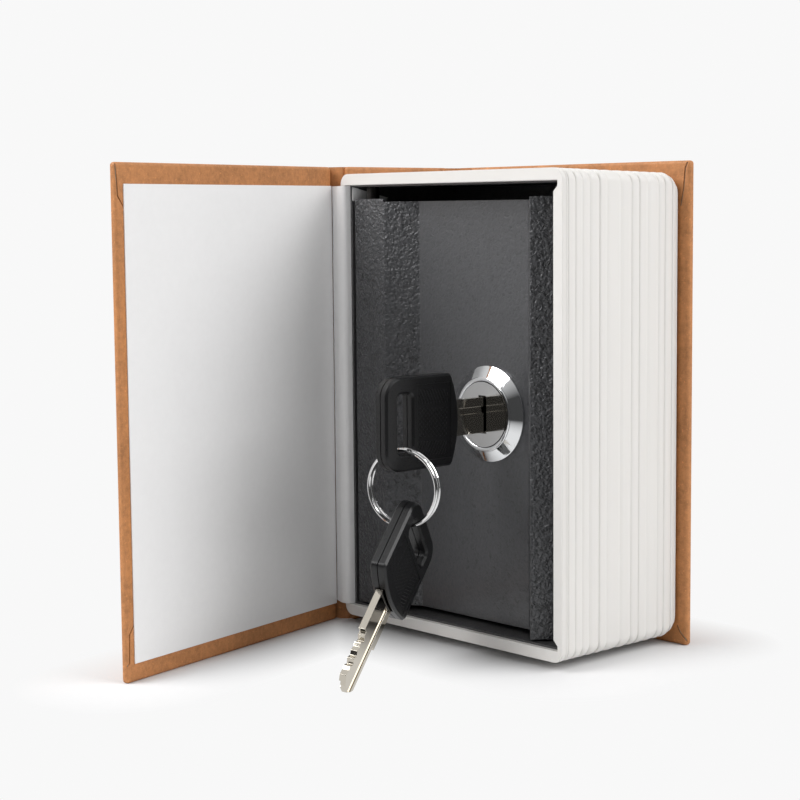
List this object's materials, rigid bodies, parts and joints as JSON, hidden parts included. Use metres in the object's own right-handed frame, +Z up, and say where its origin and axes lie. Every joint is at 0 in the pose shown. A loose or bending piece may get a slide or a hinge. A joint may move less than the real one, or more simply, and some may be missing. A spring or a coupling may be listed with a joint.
{
  "type": "book diversion safe",
  "caption": "Small steel key-locked box hidden in a moulded page block between book covers, with a hinged inner door, a lock plug with cam, and keys on a split ring.",
  "frame": {"origin": "middle of the bottom edge of the back cover, on the surface that the book stands on", "axes": "+Z up along the spine, +Y out of the back cover, +X from the spine towards the fore-edge; the door faces -Y"},
  "size_m": [0.0832, 0.1184, 0.115],
  "materials": {
    "page_plastic": "satin",
    "box_paint": "satin",
    "grey_board": "matte",
    "kraft_paper": "matte",
    "endpaper": "matte",
    "door_paint": "satin",
    "lock_chrome": "polished",
    "zinc_steel": "satin",
    "plug_steel": "polished",
    "wafer_brass": "satin",
    "ring_steel": "polished",
    "key_nickel": "satin",
    "bow_plastic": "satin"
  },
  "bodies": {
    "case": {"page_frame": "page_plastic", "safe_box": "box_paint", "box_rivet_1": "zinc_steel", "box_rivet_2": "zinc_steel", "box_rivet_3": "zinc_steel", "box_rivet_4": "zinc_steel", "door_stop_angle": "box_paint", "upper_hinge_pin": "zinc_steel", "lower_hinge_pin": "zinc_steel", "back_board": "grey_board", "spine_board": "grey_board", "case_paper": "kraft_paper", "back_endpaper": "endpaper", "front_joint_kraft": "kraft_paper", "front_joint_endpaper": "endpaper"},
    "front_cover": {"front_board": "grey_board", "front_cover_paper": "kraft_paper", "front_endpaper": "endpaper"},
    "door": {"door_panel": "door_paint", "lock_housing": "lock_chrome", "lock_washer": "zinc_steel", "lock_nut": "zinc_steel"},
    "lock": {"lock_plug": "plug_steel", "wafer_1": "wafer_brass", "wafer_2": "wafer_brass", "wafer_3": "wafer_brass", "wafer_4": "wafer_brass", "lock_cam": "zinc_steel", "cam_washer": "zinc_steel", "cam_screw": "zinc_steel"},
    "key": {"key_blade": "key_nickel", "key_bow_right_shell": "bow_plastic", "key_bow_left_shell": "bow_plastic"},
    "key_ring": {"split_ring": "ring_steel"},
    "spare_key": {"spare_key_blade": "key_nickel", "spare_key_bow_right_shell": "bow_plastic", "spare_key_bow_left_shell": "bow_plastic"}
  },
  "joints": [
    {"name": "front_cover_hinge", "type": "hinge", "parent": "case", "child": "front_cover", "pos_m": [-0.04002, -0.03962, 0.0575], "axis": [0, 0, -1], "range_deg": [-35, 100], "deforming": ["front_joint_kraft", "front_joint_endpaper"]},
    {"name": "door_hinge", "type": "hinge", "parent": "case", "child": "door", "pos_m": [-0.03092, -0.03762, 0.0562], "axis": [0, 0, -1], "range_deg": [0, 37]},
    {"name": "plug_turn", "type": "hinge", "parent": "door", "child": "lock", "pos_m": [0.00708, -0.03772, 0.0562], "axis": [0, -1, 0], "range_deg": [0, 90]},
    {"name": "key_slide", "type": "slide", "parent": "lock", "child": "key", "axis": [0, -1, 0], "range_m": [0, 0.014]},
    {"name": "ring_swing", "type": "hinge", "parent": "key", "child": "key_ring", "pos_m": [0.00687, -0.06329, 0.0502], "axis": [-0.9489, -0.3157, 0], "range_deg": [0, 50]},
    {"name": "spare_key_swing", "type": "hinge", "parent": "key_ring", "child": "spare_key", "pos_m": [0.0085, -0.06345, 0.03307], "axis": [-0.9091, -0.399, 0.12], "range_deg": [0, 40]}
  ]
}
